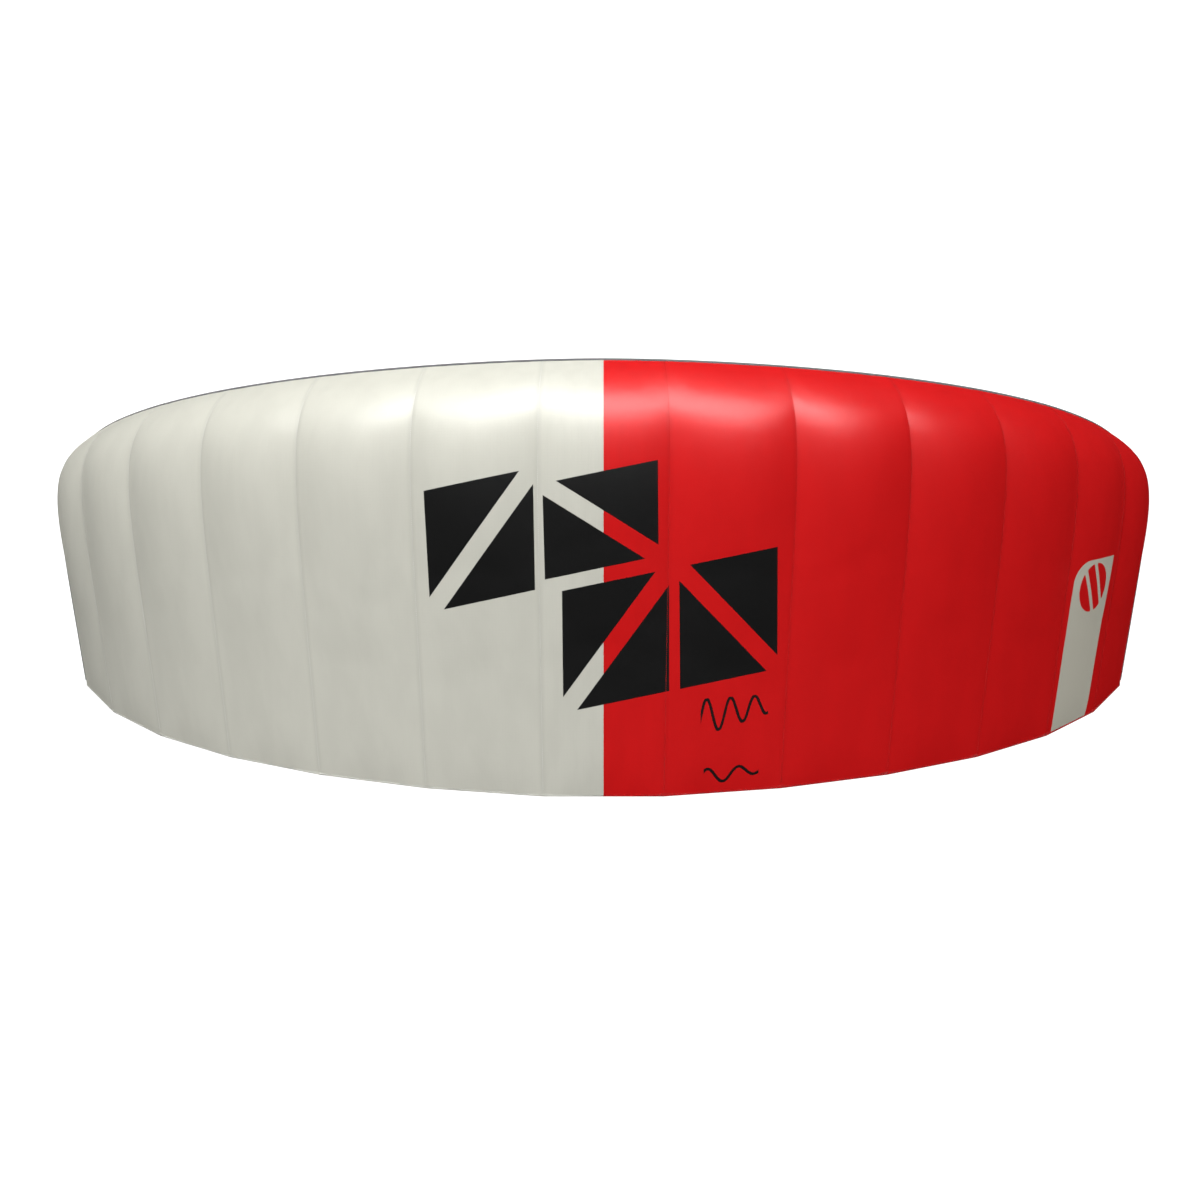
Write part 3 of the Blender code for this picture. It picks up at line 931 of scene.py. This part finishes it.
def under_rib(rib, u):
    """The middle of a load tape at u, as in the CAD."""
    u = np.asarray(u, float)
    point = rib_points(rib, u, rib.chord * height(u, False))
    if abs(rib.place) > HALF:
        cell = int(math.copysign(HALF, rib.place))
        inboard = TIP_BRIDLE_INSET / cell_width(cell)
        v = np.full_like(u, 1 - inboard if rib.side > 0 else inboard)
        point = skin_points(cell, u, v, False)
    return point - outward(rib.angle) * BRIDLE_STANDOFF


def loop_path():
    """(across, up) of the middle of the webbing round one loop: down the neck, round the ring and back."""
    ring = LOOP_HOLE + WEBBING / 2
    centre = -NECK_LENGTH - LOOP_HOLE - WEBBING
    start = math.asin(WEBBING / 2 / ring)
    turn = np.linspace(start, 2 * math.pi - start, 41)
    x = np.concatenate(([WEBBING / 2] * 4, ring * np.sin(turn), [-WEBBING / 2] * 4))
    down = np.linspace(0, -NECK_LENGTH, 5)[:4]
    y = np.concatenate((down, centre + ring * np.cos(turn), down[::-1]))
    return x, y


def make_bridle_tapes():
    """The load tape under each loaded rib, its three loops of folded webbing, and their bar tacks."""
    for place in sorted(RIBS):
        if abs(place) not in LOADED_RIBS:
            continue
        rib = RIBS[place]
        number = round(place + HALF + 1.5)
        up, across, back = outward(rib.angle), along_span(rib.angle), np.array((0, -1.0, 0))
        pile, thread = Pile(), Pile()
        path = under_rib(rib, np.linspace(*BRIDLE_TAPE, 90))
        along = tangents(path)
        ups = unit(np.cross(along, across))
        ups *= np.sign(ups @ up)[:, None]
        pile.sweep(path, rows_of(across, path), ups, rounded(TAPE_WIDTH, TAPE_THICKNESS))
        for shift in (-0.32, 0.32):
            row = path + rows_of(across, path) * shift * TAPE_WIDTH - ups * TAPE_THICKNESS / 2
            thread.stitches(row, -ups, *TAPE_STITCH)
        x, y = loop_path()
        for u in BRIDLE_ROWS:
            middle = under_rib(rib, [u])[0]
            ring = middle + x[:, None] * across + y[:, None] * up
            pile.sweep(ring, rows_of(back, ring), np.cross(tangents(ring), rows_of(back, ring)), LOOP_SECTION)
            for face in (-1, 1):
                for level in np.linspace(0.2, 0.8, 5):
                    base = middle + across * face * WEBBING - up * NECK_LENGTH * level
                    tack = base + back * np.linspace(-0.4, 0.4, 9)[:, None] * WEBBING_WIDTH
                    thread.stitches(tack, rows_of(across * face, tack), *TACK_STITCH)
        piece = pile.make(f"load_tape_{number:02d}", "webbing")
        tacks = thread.make(f"load_tape_stitches_{number:02d}", "white_thread")
        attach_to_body(piece, body_of_rib(place))
        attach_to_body(tacks, body_of_rib(place))
        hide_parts(f"bridle_tape_{number:02d}")


def dress_inner_ribs():
    """The inner ribs keep their CAD shapes, vents and all, and get the rib cloth."""
    for place in RIBS:
        if abs(place) > HALF:
            continue
        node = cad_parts[f"rib_{round(place + HALF + 1.5):02d}"]
        for slot in node.material_slots:
            slot.material = MATERIALS["rib"]


# --- The floor, the lights and the camera ---------------------------------------------------------

METRES_ACROSS = 1.9166  # what the picture is wide, at the height of the middle rib's chord line
EYE_DISTANCE = 9.58
EYE_OFFSET = (-0.0056, -0.0343)
LIGHT_DISTANCE = 6.0
FLOOR_GAP = 0.045  # below the wing at rest, because the tips come down when the arch closes


def add_camera():
    data = bpy.data.cameras.new("camera")
    data.lens = data.sensor_width * EYE_DISTANCE / METRES_ACROSS
    data.clip_end = 100
    camera = bpy.data.objects.new("camera", data)
    crown = RIBS[0.5].z
    camera.location = (*EYE_OFFSET, crown + EYE_DISTANCE)
    bpy.context.scene.collection.objects.link(camera)
    bpy.context.scene.camera = camera


# Name, degrees from overhead, degrees from the front towards -X, size, watts, what it lights, and distance
LIGHTS = (
    ("highlight", 54, 0, (9.0, 3.0), 650, "gloss"),
    ("front_high", 30, 0, (2.7, 2.7), 290, "colour"),
    ("front_low", 80, 0, (2.7, 2.7), 135, "colour"),
    ("front_left", 80, 45, (2.7, 2.7), 80, "colour"),
    ("left", 45, 90, (2.7, 2.7), 74, "colour"),
    ("right", 80, -90, (2.7, 2.7), 64, "colour"),
    ("rear", 30, 180, (2.7, 2.7), 66, "colour"),
    ("floor_glow", 180, 0, (30.0, 30.0), 3250, "colour", 0.8),
)


def add_light(name, lean, turn, size, power, lit_as, distance=LIGHT_DISTANCE):
    """A soft light. One that lights only the colour gives no gloss, and the other way round."""
    lean, turn = math.radians(lean), math.radians(turn)
    towards = Vector((-math.sin(lean) * math.sin(turn), math.sin(lean) * math.cos(turn), math.cos(lean)))
    data = bpy.data.lights.new(name, "AREA")
    data.shape = "RECTANGLE"
    data.size, data.size_y = size
    data.energy = power
    light = bpy.data.objects.new(name, data)
    light.location = towards * distance + Vector((0, 0, 0.3))
    light.rotation_mode = "QUATERNION"
    light.rotation_quaternion = (-towards).to_track_quat("-Z", "Y")
    light.visible_glossy = lit_as == "gloss"
    light.visible_diffuse = lit_as == "colour"
    data.cycles.use_multiple_importance_sampling = lit_as == "gloss"
    light.visible_camera = False
    bpy.context.scene.collection.objects.link(light)


def add_studio():
    """The lights, and a white floor that is clear from below, so that it doesn't hide the wing's underside.

    Only the camera sees the floor. The light named floor_glow shines up through it in place of its bounce.
    """
    nodes = Nodes("floor")
    nodes.shader.inputs["Base Color"].default_value = (0.30, 0.30, 0.30, 1)
    nodes.shader.inputs["Roughness"].default_value = 0.9
    nodes.shader.inputs["Emission Color"].default_value = (1, 1, 1, 1)
    nodes.shader.inputs["Emission Strength"].default_value = 1.0
    clear = nodes.add("ShaderNodeBsdfTransparent").outputs[0]
    below = nodes.add("ShaderNodeNewGeometry").outputs["Backfacing"]
    seen = nodes.add("ShaderNodeMixShader", {0: below, 1: nodes.shader.outputs[0], 2: clear})
    nodes.put(seen.outputs[0], nodes.tree.nodes["Material Output"].inputs["Surface"])
    mesh = bmesh.new()
    bmesh.ops.create_grid(mesh, x_segments=1, y_segments=1, size=40)
    bmesh.ops.translate(mesh, verts=mesh.verts, vec=(0, 0, -FLOOR_GAP))
    data = bpy.data.meshes.new("floor")
    mesh.to_mesh(data)
    mesh.free()
    data.materials.append(nodes.material)
    floor = bpy.data.objects.new("floor", data)
    floor.visible_diffuse = floor.visible_glossy = floor.visible_shadow = False
    nodes.material.cycles.emission_sampling = "NONE"
    bpy.context.scene.collection.objects.link(floor)
    world = bpy.data.worlds.new("studio")
    world.use_nodes = True
    world.node_tree.nodes["Background"].inputs["Color"].default_value = (1, 1, 1, 1)
    world.cycles_visibility.diffuse = world.cycles_visibility.glossy = False
    bpy.context.scene.world = world
    bpy.context.scene.view_settings.view_transform = "Standard"
    for light in LIGHTS:
        add_light(*light)


# --- The whole scene ------------------------------------------------------------------------------


def main():
    upper, lower, tips = skin_grids(True), skin_grids(False), tip_grids()
    upper, lower = inflate(upper, True), inflate(lower, False)
    make_upper_skins(upper)
    make_lower_skins(lower)
    make_tips(tips)
    make_lips_and_nets()
    make_hems()
    make_seam_stitches()
    make_bridle_tapes()
    dress_inner_ribs()
    add_camera()
    add_studio()


main()
